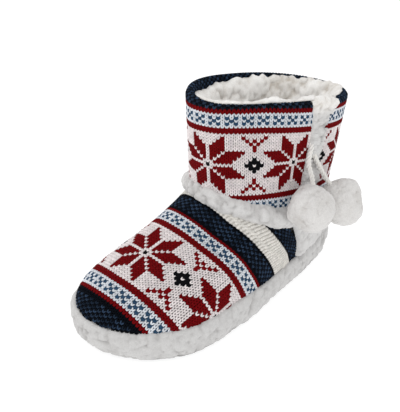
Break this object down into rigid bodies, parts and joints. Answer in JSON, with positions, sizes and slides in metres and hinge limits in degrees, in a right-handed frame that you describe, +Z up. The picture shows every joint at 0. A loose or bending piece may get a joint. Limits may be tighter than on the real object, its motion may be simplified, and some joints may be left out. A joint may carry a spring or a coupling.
{
  "type": "knitted slipper boot",
  "caption": "Left ankle-high slipper boot of star-patterned knit with a thick fleece sole edge, fleece ankle roll, plush lining, a slit at the outer side and hanging pompoms.",
  "frame": {"origin": "on the floor, under the middle of the sole's outline", "axes": "+Z up, -Y towards the toe, +X towards the outer side of the left foot"},
  "size_m": [0.1347, 0.26, 0.1625],
  "materials": {
    "knit": "stocking-stitch knit in dark red, off-white, navy, slate blue and black",
    "fleece": "curly off-white sherpa fleece",
    "pompom": "soft white plush ball",
    "cord": "white twisted cord",
    "tread": "dark grey cloth outsole with small grip dots"
  },
  "bodies": {
    "root": {"outsole": "tread", "midsole": "fleece", "insole": "fleece", "upper": "knit", "shaft": "knit", "slit_gusset": "fleece", "heel_counter": "fleece", "ankle_trim": "fleece", "cord_front": "cord", "cord_back": "cord", "pompom_front": "pompom", "pompom_back": "pompom"}
  },
  "joints": []
}
